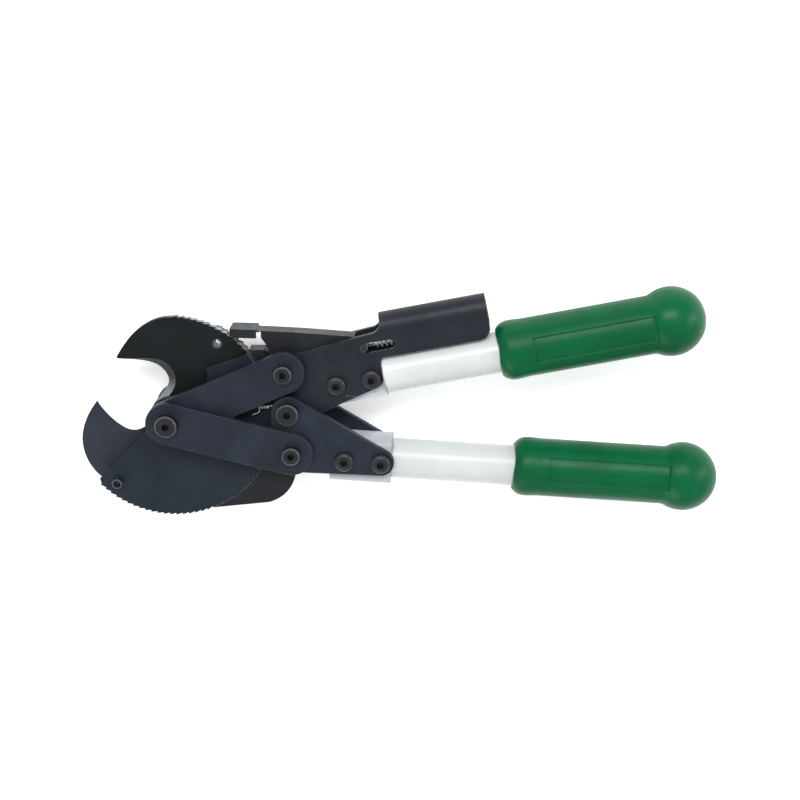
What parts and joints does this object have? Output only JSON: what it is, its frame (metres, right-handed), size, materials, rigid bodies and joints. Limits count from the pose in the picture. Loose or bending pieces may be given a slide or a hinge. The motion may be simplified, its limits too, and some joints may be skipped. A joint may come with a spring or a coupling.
{
  "type": "ratchet cable cutter",
  "caption": "Short two-handed ratchet cable cutter: hooked toothed jaws, double links, release lever and tube handles with ball-ended vinyl grips.",
  "frame": {"origin": "on the main pivot's axis, at the end face of its nut, which is the lowest point of the tool lying flat", "axes": "+Z along the pivot axes, up from the surface the tool lies on; +X from the jaws towards the handles; +Y from the lower handle to the upper handle"},
  "size_m": [0.4009, 0.1496, 0.056],
  "materials": {
    "blackened_steel": "black oxide, satin",
    "ground_blades": "black oxide with ground cutting edges",
    "black_fasteners": "black oxide, satin",
    "pin_steel": "plain steel",
    "spring_wire": "zinc plated wire",
    "white_enamel": "glossy white enamel",
    "green_vinyl": "semi-gloss dipped vinyl"
  },
  "bodies": {
    "lower_handle": {"lower_handle_plate_front": "blackened_steel", "lower_handle_plate_back": "blackened_steel", "lower_socket_block": "white_enamel", "lower_handle_tube": "white_enamel", "lower_grip": "green_vinyl", "lower_handle_screws": "black_fasteners", "lower_handle_nuts": "black_fasteners", "handle_pivot_bolt": "black_fasteners", "handle_pivot_nut": "black_fasteners", "handle_pivot_spacers": "black_fasteners", "lower_link_bolt": "black_fasteners", "lower_link_nut": "black_fasteners", "lower_link_spacers": "black_fasteners"},
    "upper_handle": {"upper_handle_bracket": "blackened_steel", "upper_socket_block": "white_enamel", "upper_handle_tube": "white_enamel", "upper_grip": "green_vinyl", "upper_handle_screws": "black_fasteners", "upper_handle_nuts": "black_fasteners", "lever_spring": "spring_wire", "spring_pins": "pin_steel"},
    "lower_link": {"lower_link_front": "blackened_steel", "lower_link_back": "blackened_steel", "main_pivot_bolt": "black_fasteners", "main_pivot_nut": "black_fasteners", "main_pivot_spacers": "black_fasteners"},
    "upper_link": {"upper_link_front": "blackened_steel", "upper_link_back": "blackened_steel", "upper_link_bolt": "black_fasteners", "upper_link_nut": "black_fasteners", "upper_link_spacers": "black_fasteners"},
    "upper_jaw": {"upper_blade": "ground_blades", "upper_ratchet_plate": "blackened_steel", "upper_jaw_pins": "pin_steel"},
    "lower_jaw": {"lower_blade": "ground_blades", "lower_ratchet_plate": "blackened_steel", "lower_jaw_pin": "pin_steel", "lower_jaw_spacer": "black_fasteners"},
    "upper_pawl": {"upper_release_lever": "blackened_steel", "upper_drive_pawl": "blackened_steel"},
    "lower_pawl": {"lower_pawl_guard": "blackened_steel", "lower_drive_pawl": "blackened_steel"}
  },
  "joints": [
    {"name": "handle_open", "type": "hinge", "parent": "lower_handle", "child": "upper_handle", "pos_m": [0.07447, 0.00665, 0.028], "axis": [0, 0, 1], "range_deg": [0, 38]},
    {"name": "lower_link_swing", "type": "hinge", "parent": "lower_handle", "child": "lower_link", "pos_m": [0.07674, -0.01875, 0.028], "axis": [0, 0, 1], "range_deg": [0, 20]},
    {"name": "upper_link_swing", "type": "hinge", "parent": "lower_link", "child": "upper_link", "pos_m": [0, 0, 0.028], "axis": [0, 0, 1], "range_deg": [-1.8, 0]},
    {"name": "upper_jaw_close", "type": "hinge", "parent": "upper_link", "child": "upper_jaw", "pos_m": [0, 0, 0.028], "axis": [0, 0, 1], "range_deg": [-8, 52]},
    {"name": "lower_jaw_close", "type": "hinge", "parent": "lower_link", "child": "lower_jaw", "pos_m": [0, 0, 0.028], "axis": [0, 0, -1], "range_deg": [-8, 52]},
    {"name": "upper_pawl_lift", "type": "hinge", "parent": "upper_link", "child": "upper_pawl", "pos_m": [0.07221, 0.03205, 0.028], "axis": [0, 0, -1], "range_deg": [0, 5], "stiffness_Nm_per_rad": 0.5, "springref_deg": -5.73},
    {"name": "lower_pawl_lift", "type": "hinge", "parent": "lower_link", "child": "lower_pawl", "pos_m": [0.07674, -0.01875, 0.028], "axis": [0, 0, 1], "range_deg": [0, 6], "stiffness_Nm_per_rad": 0.5, "springref_deg": -5.73}
  ],
  "couplings": [
    {"joint": "lower_link_swing", "follows": "handle_open", "ratio": 0.52332},
    {"joint": "upper_link_swing", "follows": "handle_open", "ratio": -0.04663}
  ]
}
